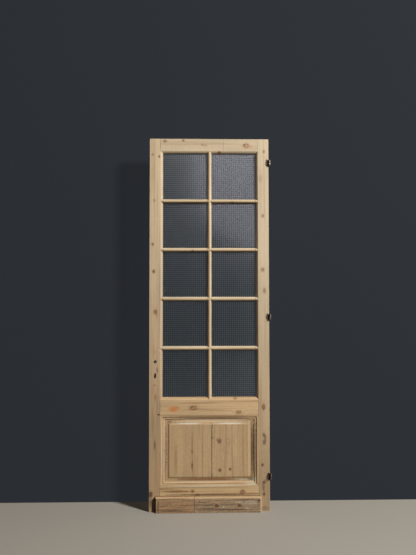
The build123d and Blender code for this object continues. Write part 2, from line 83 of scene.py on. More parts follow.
class Sketch:
    """Adds nodes to one node tree in few words."""

    # A colour mix node's inputs for its share and its two colours, and its colour output, by number
    MIX_INPUTS = (0, 6, 7)
    MIX_OUTPUT = 2

    def __init__(self, tree: Tree) -> None:
        """Keep the tree that nodes are added to."""
        self.tree = tree

    def node(self, kind: str, *values: Any, modes: dict[str, Any] | None = None, **inputs: Any) -> Node:
        """Add a node and set its inputs.

        Args:
            kind: The node's type name, such as ShaderNodeMath.
            values: Values or sockets for its first inputs, in order.
            modes: Settings that aren't inputs, by name.
            inputs: Values or sockets by input name, with spaces as underscores.

        Returns:
            The new node.
        """
        made = self.tree.nodes.new(kind)
        for name, setting in (modes or {}).items():
            setattr(made, name, setting)
        for socket, value in zip(made.inputs, values):
            self.feed(socket, value)
        return self.fill(made, **inputs)

    def fill(self, made: Node, **inputs: Any) -> Node:
        """Set a node's inputs.

        Args:
            made: The node.
            inputs: Values or sockets by input name, with spaces as underscores.

        Returns:
            The same node.
        """
        for name, value in inputs.items():
            self.feed(made.inputs[name.replace("_", " ")], value)
        return made

    def feed(self, socket: Socket, value: Any) -> None:
        """Bring a value to an input.

        Args:
            socket: The input.
            value: A socket to link to it, or a plain value to write on it.
        """
        if isinstance(value, Socket):
            self.tree.links.new(value, socket)
        else:
            socket.default_value = value

    def maths(self, operation: str, *values: Any, clamp: bool = False) -> Socket:
        """Result of a Math node on one to three values or sockets."""
        return self.node("ShaderNodeMath", *values, modes={"operation": operation, "use_clamp": clamp}).outputs[0]

    def plus(self, left: Any, right: Any) -> Socket:
        """Sum of two values or sockets."""
        return self.maths("ADD", left, right)

    def minus(self, left: Any, right: Any) -> Socket:
        """Difference of two values or sockets."""
        return self.maths("SUBTRACT", left, right)

    def times(self, left: Any, right: Any) -> Socket:
        """Product of two values or sockets."""
        return self.maths("MULTIPLY", left, right)

    def over(self, left: Any, right: Any) -> Socket:
        """Quotient of two values or sockets."""
        return self.maths("DIVIDE", left, right)

    def scaled(self, value: Any, factor: Any, offset: Any) -> Socket:
        """A value times a factor, plus an offset."""
        return self.maths("MULTIPLY_ADD", value, factor, offset)

    def swing(self, value: Any, width: Any) -> Socket:
        """A value from 0 to 1 as one that swings evenly about 0."""
        return self.times(self.minus(value, 0.5), width)

    def shading(self, value: Any, spread: float) -> Socket:
        """A value from 0 to 1 as a factor that swings evenly about 1."""
        return self.scaled(value, spread, 1.0 - spread / 2)

    def length(self, x: Any, y: Any) -> Socket:
        """Length of a line from its two parts at right angles."""
        return self.maths("SQRT", self.plus(self.times(x, x), self.times(y, y)))

    def bell(self, value: Any) -> Socket:
        """A hump, 1 where the value is 0, that falls off on both sides."""
        return self.maths("EXPONENT", self.times(self.times(value, value), -1.0))

    def vector(self, x: Any, y: Any, z: Any) -> Socket:
        """Vector put together from three values or sockets."""
        return self.node("ShaderNodeCombineXYZ", X=x, Y=y, Z=z).outputs[0]

    def split(self, position: Any) -> list[Socket]:
        """The three parts of a vector."""
        return list(self.node("ShaderNodeSeparateXYZ", Vector=position).outputs)

    def stretched(self, position: Any, scale: Sequence[float], seed: Any = 0.0) -> Socket:
        """A position scaled along each axis, then moved by a seed."""
        values = (position, scale, self.vector(seed, seed, seed))
        return self.node("ShaderNodeVectorMath", *values, modes={"operation": "MULTIPLY_ADD"}).outputs[0]

    def noise(
        self, position: Any, scale: Sequence[float], seed: Any = 0.0, detail: float = 2.0, roughness: float = 0.5
    ) -> Socket:
        """Add a soft noise.

        Args:
            position: Where it is read.
            scale: How fine it is along each axis.
            seed: Which noise it is.
            detail: How many finer noises it holds.
            roughness: How strong those are.

        Returns:
            The noise, from 0 to 1.
        """
        at = self.stretched(position, scale, seed)
        made = self.node("ShaderNodeTexNoise", Vector=at, Scale=1.0, Detail=detail, Roughness=roughness)
        return made.outputs["Fac"]

    def fade(self, value: Any, low: Any, high: Any) -> Socket:
        """Smooth step from 0 where the value is low to 1 where it is high."""
        modes = {"interpolation_type": "SMOOTHSTEP"}
        return self.node("ShaderNodeMapRange", value, low, high, modes=modes).outputs["Result"]

    def falling(self, value: Any, low: Any, high: Any) -> Socket:
        """Smooth step from 1 where the value is low to 0 where it is high."""
        return self.minus(1.0, self.fade(value, low, high))

    def mixed(self, share: Any, under: Any, over: Any, blend: str = "MIX") -> Socket:
        """Mix two colours.

        Args:
            share: How much of the upper colour shows.
            under: The lower colour.
            over: The upper colour.
            blend: How the upper colour acts, such as MULTIPLY.

        Returns:
            The mixed colour.
        """
        made = self.node("ShaderNodeMix", modes={"data_type": "RGBA", "blend_type": blend})
        for number, value in zip(self.MIX_INPUTS, (share, under, over)):
            self.feed(made.inputs[number], value)
        return made.outputs[self.MIX_OUTPUT]

    def group(self, tree: Tree, **inputs: Any) -> Node:
        """Place a node group and set its inputs by name."""
        return self.node("ShaderNodeGroup", modes={"node_tree": tree}, **inputs)


def new_group(name: str, takes: dict[str, float], gives: Sequence[str]) -> tuple[Sketch, Any, Node]:
    """Start a shader node group that takes a position and some numbers.

    Args:
        name: The group's name.
        takes: The starting value of each number, by its name.
        gives: The name of each number that the group puts out.

    Returns:
        A sketch of the group's tree, the sockets that bring its inputs, and its output node.
    """
    tree = bpy.data.node_groups.new(name, "ShaderNodeTree")
    tree.interface.new_socket("Position", in_out="INPUT", socket_type="NodeSocketVector")
    for title, start in takes.items():
        tree.interface.new_socket(title, in_out="INPUT", socket_type="NodeSocketFloat").default_value = start
    for title in gives:
        tree.interface.new_socket(title, in_out="OUTPUT", socket_type="NodeSocketFloat")
    sketch = Sketch(tree)
    return sketch, sketch.node("NodeGroupInput").outputs, sketch.node("NodeGroupOutput")


class Effects:
    """The shader node groups that the finishes share. Positions have the grain along Z."""

    ELLIPSE = {"Across": 0.0, "Along": 0.0, "Half Width": 0.01, "Half Length": 0.01}

    def __init__(self) -> None:
        """Build each group once."""
        self.figure = self._figure()
        self.knot = self._knot()
        self.stain = self._stain()
        self.dents = self._dents()

    @staticmethod
    def _figure() -> Tree:
        """Draw the growth rings and fibres of a sawn board whose pith lies off to one side.

        Returns:
            The group.
        """
        takes = {
            "Pith Across": 0.0, "Pith Depth": 0.09, "Ring Width": 0.005, "Waver": 0.01, "Pull": 0.0, "Seed": 0.0,
        }
        draw, given, put = new_group("board figure", takes, ["Ring", "Fibre", "Drift", "Streak"])
        position, seed = given["Position"], given["Seed"]
        across, depth, _ = draw.split(position)
        sway = draw.swing(draw.noise(position, (5, 5, 0.9), seed), given["Waver"])
        ripple = draw.swing(draw.noise(position, (28, 28, 5), seed), 0.0028)
        off = draw.minus(across, given["Pith Across"])
        back = draw.minus(depth, given["Pith Depth"])
        radius = draw.plus(draw.length(off, back), draw.plus(sway, ripple))
        years = draw.over(draw.plus(radius, given["Pull"]), given["Ring Width"])
        part = draw.maths("FRACT", years)
        year = draw.plus(draw.maths("FLOOR", years), seed)
        chance = draw.node("ShaderNodeTexWhiteNoise", modes={"noise_dimensions": "1D"}, W=year)
        strong = draw.scaled(draw.maths("POWER", chance.outputs["Value"], 1.6), 0.8, 0.2)
        late = draw.times(draw.maths("POWER", part, 2.6), draw.falling(part, 0.88, 1.0))
        draw.fill(
            put, Ring=draw.times(late, strong), Fibre=draw.noise(position, (1100, 1100, 11), seed, 3.0, 0.6),
            Drift=draw.noise(position, (11, 11, 2.2), seed, 3.0),
            Streak=draw.noise(position, (75, 75, 1.6), seed, 2.0, 0.6),
        )
        return draw.tree

    @staticmethod
    def _ragged_distance(draw: Sketch, given: Any, wobble: float) -> Socket:
        """Measure how far a place is from an ellipse's centre, 1 on the rim, with an uneven edge.

        Args:
            draw: The sketch of the group.
            given: The sockets that bring the group's inputs.
            wobble: How uneven the edge is.

        Returns:
            The distance.
        """
        position = given["Position"]
        across, _, along = draw.split(position)
        u = draw.over(draw.minus(across, given["Across"]), given["Half Width"])
        v = draw.over(draw.minus(along, given["Along"]), given["Half Length"])
        return draw.plus(draw.length(u, v), draw.swing(draw.noise(position, (160, 160, 90)), wobble))

    @classmethod
    def _knot(cls) -> Tree:
        """Draw a knot: its heart with rings of its own, its bark, the flare round it and its push on the grain.

        Returns:
            The group.
        """
        draw, given, put = new_group("knot", {**cls.ELLIPSE, "Push": 1.0}, ["Heart", "Bark", "Flare", "Pull"])
        far = cls._ragged_distance(draw, given, 0.6)
        wave = draw.scaled(draw.maths("SINE", draw.times(far, 17.0)), 0.28, 0.72)
        pull = draw.times(draw.bell(draw.over(far, 2.3)), given["Half Width"])
        draw.fill(
            put, Heart=draw.times(draw.falling(far, 0.7, 1.1), wave), Flare=draw.falling(far, 0.8, 2.6),
            Bark=draw.bell(draw.over(draw.minus(far, 0.95), 0.2)), Pull=draw.times(pull, given["Push"]),
        )
        return draw.tree

    @classmethod
    def _stain(cls) -> Tree:
        """Draw a patch of another colour, its edge soft or ragged.

        Returns:
            The group.
        """
        draw, given, put = new_group("stain", {**cls.ELLIPSE, "Softness": 0.6, "Breaks": 0.0}, ["Mask"])
        far = cls._ragged_distance(draw, given, 0.8)
        mask = draw.falling(far, draw.minus(1.0, given["Softness"]), 1.05)
        speck = draw.noise(given["Position"], (240, 240, 130), 0.0, 3.0, 0.65)
        gate = draw.times(given["Breaks"], 0.55)
        draw.fill(put, Mask=draw.times(mask, draw.fade(speck, gate, draw.plus(gate, 0.12))))
        return draw.tree

    @staticmethod
    def _dents() -> Tree:
        """Draw the knocks and small scratches of long use, 0 where the surface is sound.

        Returns:
            The group.
        """
        draw, given, put = new_group("dents", {"Amount": 0.5, "Seed": 0.0}, ["Mask", "Height"])
        position, seed = given["Position"], given["Seed"]
        cells = draw.node("ShaderNodeTexVoronoi", Vector=draw.stretched(position, (34, 34, 17), seed), Scale=1.0)
        size = draw.times(draw.fade(draw.noise(position, (9, 9, 6), seed), 0.45, 0.75), given["Amount"])
        mask = draw.falling(cells.outputs["Distance"], 0.0, draw.scaled(size, 0.3, 0.001))
        rough = draw.noise(position, (60, 60, 30), seed, 3.0, 0.6)
        draw.fill(put, Mask=mask, Height=draw.minus(draw.times(rough, 0.4), mask))
        return draw.tree


KNOT_BROWN = (104, 68, 40)
KNOT_DARK = (58, 38, 24)
KNOT_RED = (150, 98, 62)
BARK = (48, 32, 22)
FLARE = (176, 128, 82)
STREAK_BROWN = (150, 112, 72)
SMOKE = (92, 80, 70)
PURPLE = (122, 92, 84)
# White paint residue, also used for painted highlights on lit slopes
CHALK_AND_HIGHLIGHT = (214, 208, 190)
# Colour that the foot of each board is multiplied towards
FOOT_DARKENING = (0.62, 0.53, 0.43, 1.0)


@dataclass(frozen=True)
class Knot:
    """A knot, in millimetres from the lock edge and from the foot."""

    x: float
    z: float
    half_x: float = 5.0
    half_z: float = 6.0
    heart: ScreenColour = KNOT_BROWN
    strength: float = 0.85
    push: float = 1.0


@dataclass(frozen=True)
class Stain:
    """A patch of another colour on the front, in millimetres from the lock edge and from the foot."""

    x: float
    z: float
    half_x: float
    half_z: float
    colour: ScreenColour
    strength: float = 0.6
    softness: float = 0.7
    breaks: float = 0.0


def new_material(name: str) -> tuple[Material, Sketch, Node]:
    """Start a material.

    Args:
        name: The material's name.

    Returns:
        The material, a sketch of its tree, and its shader node.
    """
    material = bpy.data.materials.new(name)
    material.use_nodes = True
    return material, Sketch(material.node_tree), material.node_tree.nodes["Principled BSDF"]


@dataclass(frozen=True)
class PineFinish:
    """Stripped old pine with its own board figure, knots and marks; some marks are painted light and shade."""

    name: str
    grain: Grain
    pale: ScreenColour
    ring: ScreenColour
    seed: float
    pith_across: float
    pith_depth: float = 0.07
    ring_width: float = 0.0042
    waver: float = 0.012
    figure: float = 0.5
    streak: ScreenColour = STREAK_BROWN
    streaks: float = 0.6
    foot_darkening: float = 0.3
    wear: float = 0.5
    mottle: float = 0.36
    knots: tuple[Knot, ...] = ()
    stains: tuple[Stain, ...] = ()

    def _placed(self, mark: Knot | Stain) -> dict[str, float]:
        """Put a mark on the board's own axes.

        Args:
            mark: The knot or the stain.

        Returns:
            Its centre and half sizes in metres, by the name of the group's input.
        """
        x, z = LOCK_EDGE_X + mark.x / MILLIMETRES, mark.z / MILLIMETRES
        half_x, half_z = mark.half_x / MILLIMETRES, mark.half_z / MILLIMETRES
        if self.grain is Grain.UPRIGHT:
            return {"Across": x, "Along": z, "Half_Width": half_x, "Half_Length": half_z}
        return {"Across": z, "Along": x, "Half_Width": half_z, "Half_Length": half_x}

    def material(self, effects: Effects) -> Material:
        """Build the finish.

        Args:
            effects: The shared node groups.

        Returns:
            The material.
        """
        material, draw, surface = new_material(self.name)
        place = draw.node("ShaderNodeTexCoord").outputs["Object"]
        x, depth, height = draw.split(place)
        position = place if self.grain is Grain.UPRIGHT else draw.vector(height, depth, x)
        knots = [
            draw.group(effects.knot, Position=position, Push=knot.push, **self._placed(knot)).outputs
            for knot in self.knots
        ]
        pull: Any = 0.0
        for knot in knots:
            pull = draw.plus(pull, knot["Pull"])
        board = draw.group(
            effects.figure, Position=position, Pith_Across=self.pith_across, Pith_Depth=self.pith_depth,
            Ring_Width=self.ring_width, Waver=self.waver, Pull=pull, Seed=self.seed,
        ).outputs
        dents = draw.group(effects.dents, Position=position, Amount=self.wear, Seed=self.seed).outputs
        colour = draw.mixed(draw.times(board["Ring"], self.figure), linear(self.pale), linear(self.ring))
        streak = draw.times(draw.fade(board["Streak"], 0.48, 0.72), self.streaks)
        colour = draw.mixed(streak, colour, linear(self.streak))
        shade = draw.times(draw.scaled(board["Drift"], 0.56, 0.76), draw.shading(board["Fibre"], 0.24))
        speckle = draw.noise(position, (170, 170, 80), self.seed, 3.0, 0.7)
        shade = draw.times(shade, draw.shading(speckle, self.mottle))
        colour = draw.mixed(1.0, colour, draw.vector(shade, shade, shade), "MULTIPLY")
        for mark, knot in zip(self.knots, knots):
            layers = (("Flare", 0.55, FLARE), ("Heart", 1.0, mark.heart), ("Bark", 0.7, BARK))
            for layer, share, tone in layers:
                colour = draw.mixed(draw.times(knot[layer], mark.strength * share), colour, linear(tone))
        front = draw.falling(depth, -0.006, 0.0)
        for mark in self.stains:
            stain = draw.group(
                effects.stain, Position=position, Softness=mark.softness, Breaks=mark.breaks, **self._placed(mark)
            )
            share = draw.times(stain.outputs["Mask"], front)
            colour = draw.mixed(draw.times(share, mark.strength), colour, linear(mark.colour))
        colour = draw.mixed(draw.times(dents["Mask"], 0.5), colour, linear(SMOKE))
        # Darker towards the foot, fading out two metres up
        low = draw.times(draw.falling(height, 0.1, 2.0), self.foot_darkening)
        relief = draw.plus(draw.times(board["Ring"], 0.45), draw.times(board["Fibre"], 0.5))
        relief = draw.plus(relief, draw.times(dents["Height"], 0.8))
        bump = draw.node("ShaderNodeBump", Strength=0.55, Distance=0.0005, Height=relief)
        draw.fill(
            surface, Base_Color=draw.mixed(low, colour, FOOT_DARKENING, "MULTIPLY"), Specular_IOR_Level=0.4,
            Roughness=draw.scaled(board["Fibre"], 0.12, draw.scaled(board["Ring"], -0.12, 0.72)),
            Normal=bump.outputs[0],
        )
        return material


@dataclass(frozen=True)
class GlassFinish:
    """Pressed glass, slightly grey, with cloudy patches of dust and painted shade in the hollows between its cushions.
    """

    name: str = "pressed_glass"
    tint: Colour = (0.65, 0.78, 0.84, 1.0)
    dust_and_groove_shade: Colour = (0.45, 0.55, 0.59, 1.0)
    haze_dust: float = 0.4
    groove_shade: float = 0.8
    roughness: float = 0.05
    haze_roughness: float = 0.10
    groove_roughness: float = 0.3
    index: float = 1.5
    mirror: float = 0.15
    sheen_roughness: float = 0.34

    def material(self) -> Material:
        """Build the finish.

        Returns:
            The material.
        """
        material, draw, surface = new_material(self.name)
        haze = draw.noise(draw.node("ShaderNodeTexCoord").outputs["Object"], (14, 14, 9), 0.0, 3.0)
        groove = draw.node("ShaderNodeAttribute", modes={"attribute_name": GROOVE}).outputs["Fac"]
        clean = draw.mixed(draw.times(draw.fade(haze, 0.35, 0.7), self.haze_dust), self.tint, self.dust_and_groove_shade)
        rough = draw.scaled(haze, self.haze_roughness, self.roughness)
        draw.fill(
            # The hollows are painted darker: painted shade that draws the grid's dark lines
            surface, Base_Color=draw.mixed(draw.times(groove, self.groove_shade), clean, self.dust_and_groove_shade),
            Roughness=draw.scaled(groove, self.groove_roughness, rough), Transmission_Weight=1.0, IOR=self.index,
            Specular_IOR_Level=self.mirror, Coat_Weight=draw.minus(1.0, groove),
            Coat_Roughness=self.sheen_roughness,
        )
        return material


@dataclass(frozen=True)
class IronFinish:
    """Old iron: dark with rust, rubbed bright on some places."""

    name: str = "hinge_iron"
    dark: ScreenColour = (72, 64, 58)
    rust: ScreenColour = (112, 74, 48)
    rubbed: ScreenColour = (196, 188, 174)
    shine: float = 0.5

    def material(self) -> Material:
        """Build the finish.

        Returns:
            The material.
        """
        material, draw, surface = new_material(self.name)
        place = draw.node("ShaderNodeTexCoord").outputs["Object"]
        patch = draw.noise(place, (70, 70, 50), 0.0, 4.0, 0.6)
        grit = draw.noise(place, (600, 600, 600), 0.0, 2.0, 0.6)
        rusty = draw.fade(patch, 0.42, 0.6)
        bare = draw.fade(draw.noise(place, (45, 45, 90), 3.0), 0.46, 0.6)
        colour = draw.mixed(rusty, linear(self.dark), linear(self.rust))
        bump = draw.node("ShaderNodeBump", Strength=0.5, Distance=0.0004, Height=draw.plus(patch, grit))
        draw.fill(
            surface, Base_Color=draw.mixed(draw.times(bare, self.shine), colour, linear(self.rubbed)),
            Roughness=draw.scaled(rusty, 0.25, 0.42),
            Metallic=draw.scaled(draw.times(rusty, draw.minus(1.0, bare)), -0.6, 0.85), Normal=bump.outputs[0],
        )
        return material


@dataclass(frozen=True)
class PlainFinish:
    """An even, dull surface.

    One that glows keeps its tone in shadow and is clear from behind. One with a bounce colour is that colour
    to the light that it throws back on the leaf.
    """

    name: str
    colour: ScreenColour
    roughness: float = 0.9
    mirror: float = 0.1
    glow: float = 0.0
    dull: float = 0.35
    bounce: ScreenColour | None = None

    def material(self) -> Material:
        """Build the finish.

        Returns:
            The material.
        """
        material, draw, surface = new_material(self.name)
        colour = linear(self.colour)
        draw.fill(surface, Base_Color=colour, Roughness=self.roughness, Specular_IOR_Level=self.mirror)
        if self.bounce:
            ray = draw.node("ShaderNodeLightPath").outputs
            seen = draw.plus(ray["Is Camera Ray"], ray["Is Glossy Ray"])
            seen = draw.maths("ADD", seen, ray["Is Transmission Ray"], clamp=True)
            draw.fill(surface, Base_Color=draw.mixed(seen, linear(self.bounce), colour))
        if self.glow:
            dim = (*(self.dull * part for part in colour[:3]), 1.0)
            draw.fill(surface, Base_Color=dim, Emission_Color=colour, Emission_Strength=self.glow)
            material.cycles.emission_sampling = "NONE"
            behind = draw.node("ShaderNodeNewGeometry").outputs["Backfacing"]
            clear = draw.node("ShaderNodeBsdfTransparent").outputs[0]
            mix = draw.node("ShaderNodeMixShader", behind, surface.outputs[0], clear)
            draw.fill(material.node_tree.nodes["Material Output"], Surface=mix.outputs[0])
        return material


def mesh_object(name: str, points: Sequence[Sequence[float]], faces: Sequence[Sequence[int]]) -> Object:
    """Put a mesh in the scene.

    Args:
        name: The object's name.
        points: Its points, in metres.
        faces: Its faces, as lists of point numbers.

    Returns:
        The new object, at the origin.
    """
    mesh = bpy.data.meshes.new(name)
    mesh.from_pydata([tuple(point) for point in points], [], [tuple(face) for face in faces])
    made = bpy.data.objects.new(name, mesh)
    bpy.context.scene.collection.objects.link(made)
    return made


class ShapeTree(Sketch):
    """A geometry node tree with named inputs, which ends by joining what it made."""

    def __init__(self, name: str, takes: dict[str, str]) -> None:
        """Start the tree.

        Args:
            name: The tree's name.
            takes: The kind of each input, such as Float, Vector or Int, by its name. Material is one more.
        """
        super().__init__(bpy.data.node_groups.new(name, "GeometryNodeTree"))
        for title, kind in {"Geometry": "Geometry", **takes, "Material": "Material"}.items():
            self.tree.interface.new_socket(title, in_out="INPUT", socket_type=f"NodeSocket{kind}")
        self.tree.interface.new_socket("Geometry", in_out="OUTPUT", socket_type="NodeSocketGeometry")
        self.given = self.node("NodeGroupInput").outputs

    def finish(self, geometry: Socket) -> None:
        """Realize the instances, set the material and put the result out.

        Args:
            geometry: What the tree made.
        """
        real = self.node("GeometryNodeRealizeInstances", Geometry=geometry)
        dressed = self.node("GeometryNodeSetMaterial", Geometry=real.outputs[0], Material=self.given["Material"])
        self.node("NodeGroupOutput", Geometry=dressed.outputs[0])

    def run(self, name: str, **settings: Any) -> Object:
        """Make one piece with the tree and keep it as a plain mesh.

        Args:
            name: The piece's name.
            settings: A value for each named input.

        Returns:
            The piece, at the origin and without a modifier.
        """
        made = mesh_object(name, [], [])
        modifier = made.modifiers.new("build", "NODES")
        modifier.node_group = self.tree
        for item in self.tree.interface.items_tree:
            value = settings.get(item.name.replace(" ", "_"))
            if item.in_out == "INPUT" and value is not None:
                modifier[item.identifier] = value
        bpy.context.view_layer.update()
        shape = bpy.data.meshes.new_from_object(made.evaluated_get(bpy.context.evaluated_depsgraph_get()))
        made.modifiers.remove(modifier)
        made.data = shape
        shape.name = name
        return made


def place_piece(piece: Object, slot: str, *replaced: str) -> None:
    """Make a piece ride with the leaf and report it.

    Args:
        piece: The piece.
        slot: Its material slot in the record; not used.
        replaced: The nodes that it stands for.
    """
    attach(piece, BODY)
    if replaced:
        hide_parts(*replaced)
    LOG.info("%s: %d faces", piece.name, len(piece.data.polygons))


@dataclass
class PressedGlass:
    """The ten panes, pressed on the front with small square cushions."""

    cell: float = 0.013
    relief: float = 0.0007
    lean: float = 0.00002
    steps: int = 4

    @staticmethod
    def tree() -> ShapeTree:
        """Build the geometry tree of one pane.

        Returns:
            The tree.
        """
        draw = ShapeTree("pressed pane", {
            "Size": "Vector", "Centre": "Vector", "Cells Across": "Int", "Cells Up": "Int", "Steps": "Int",
            "Relief": "Float", "Lean": "Float", "Seed": "Int",
        })
        given = draw.given
        across = draw.scaled(given["Cells Across"], given["Steps"], 1.0)
        up = draw.scaled(given["Cells Up"], given["Steps"], 1.0)
        block = draw.node("GeometryNodeMeshCube", Size=given["Size"], Vertices_X=across, Vertices_Y=2, Vertices_Z=up)
        x, y, z = draw.split(draw.node("GeometryNodeInputPosition").outputs[0])
        width, _, height = draw.split(given["Size"])
        offs, columns, spread = [], [], []
        for value, size, count in ((x, width, given["Cells Across"]), (z, height, given["Cells Up"])):
            cells = draw.times(draw.plus(draw.over(value, size), 0.5), count)
            off = draw.swing(draw.maths("FRACT", cells), 2.0)
            inner = draw.times(off, draw.minus(1.0, draw.maths("ABSOLUTE", off)))
            offs.append(off)
            columns.append(draw.maths("FLOOR", cells))
            spread.append(draw.times(inner, draw.over(draw.times(size, 0.4), count)))
        front = draw.maths("LESS_THAN", y, 0.0)
        far = draw.maths("MAXIMUM", *(draw.maths("ABSOLUTE", off) for off in offs))
        groove = draw.times(draw.fade(far, 0.5, 0.85), front)
        chance = draw.node("ShaderNodeTexWhiteNoise", Vector=draw.vector(*columns, given["Seed"]))
        lean_x, lean_z, _ = draw.split(chance.outputs["Color"])
        lean = draw.plus(draw.swing(lean_x, offs[0]), draw.swing(lean_z, offs[1]))
        lean = draw.times(draw.plus(lean, 0.5), given["Lean"])
        top = draw.times(draw.times(draw.minus(1.0, groove), front), lean)
        shift = draw.vector(spread[0], draw.scaled(groove, given["Relief"], top), spread[1])
        marked = draw.node("GeometryNodeStoreNamedAttribute", Geometry=block.outputs["Mesh"], Name=GROOVE, Value=groove)
        moved = draw.node("GeometryNodeSetPosition", Geometry=marked.outputs[0], Offset=shift)
        placed = draw.node("GeometryNodeTransform", Geometry=moved.outputs[0], Translation=given["Centre"])
        draw.finish(placed.outputs[0])
        return draw

    def build(self, finish: Material) -> None:
        """Make each pane inside its plain sheet and put it in the sheet's place.

        Args:
            finish: The glass.
        """
        tree = self.tree()
        for row in PANE_ROWS:
            for node in (f"glass_{row}_left", f"glass_{row}_right"):
                low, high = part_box(node)
                size = high - low
                pane = tree.run(
                    f"pressed_{node}", Size=size, Centre=(low + high) / 2, Cells_Across=round(size.x / self.cell),
                    Cells_Up=round(size.z / self.cell), Steps=self.steps, Relief=self.relief, Lean=self.lean,
                    Seed=row, Material=finish,
                )
                place_piece(pane, "pressed_glass", node)


@dataclass
class Fixings:
    """The slotted screws on the hinge flaps, in metres."""

    radius: float = 0.0042
    proud: float = 0.0004
    slot: float = 0.0011
    from_end: float = 0.012
    from_front: float = 0.021
    count: int = 3

    @staticmethod
    def tree() -> ShapeTree:
        """Build the geometry tree of a row of slotted heads. The row runs along Z before it is turned.

        Returns:
            The tree.
        """
        draw = ShapeTree("row of heads", {
            "Start": "Vector", "Step": "Vector", "Count": "Int", "Turn": "Vector", "Radius": "Float",
            "Thickness": "Float", "Slot": "Float", "Seed": "Int",
        })
        given = draw.given
        thick = given["Thickness"]
        row = draw.node(
            "GeometryNodeMeshLine", Count=given["Count"], Start_Location=given["Start"], Offset=given["Step"]
        )
        head = draw.node("GeometryNodeMeshCylinder", Vertices=20, Radius=given["Radius"], Depth=thick)
        across = draw.times(given["Radius"], 3.0)
        cut = draw.node("GeometryNodeMeshCube", Size=draw.vector(across, given["Slot"], thick))
        lift = draw.vector(0.0, 0.0, draw.times(thick, 0.7))
        knife = draw.node("GeometryNodeTransform", Geometry=cut.outputs["Mesh"], Translation=lift)
        slotted = draw.node(
            "GeometryNodeMeshBoolean", modes={"operation": "DIFFERENCE"}, Mesh_1=head.outputs["Mesh"],
            Mesh_2=knife.outputs[0],
        )
        spin = draw.node("FunctionNodeRandomValue", modes={"data_type": "FLOAT"}, Seed=given["Seed"])
        draw.feed(spin.inputs[3], 3.14)
        heads = draw.node("GeometryNodeInstanceOnPoints", Points=row.outputs["Mesh"], Instance=slotted.outputs[0])
        facing = draw.node("GeometryNodeRotateInstances", Instances=heads.outputs[0], Rotation=given["Turn"])
        turn = draw.vector(0.0, 0.0, spin.outputs[1])
        draw.finish(draw.node("GeometryNodeRotateInstances", Instances=facing.outputs[0], Rotation=turn).outputs[0])
        return draw

    def build(self, iron: Material) -> None:
        """Make the row of heads on each flap.

        Args:
            iron: Their finish.
        """
        tree = self.tree()
        for number, node in enumerate(HINGES):
            low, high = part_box(node)
            rise = (high.z - low.z - 2 * self.from_end) / (self.count - 1)
            screws = tree.run(
                f"screws_{node}", Start=Vector((self.proud / 2, low.y + self.from_front, low.z + self.from_end)),
                Step=Vector((0, 0, rise)), Count=self.count, Turn=Vector((0, math.pi / 2, 0)), Radius=self.radius,
                Thickness=self.proud * 3, Slot=self.slot, Seed=number, Material=iron,
            )
            place_piece(screws, "hinge_iron")


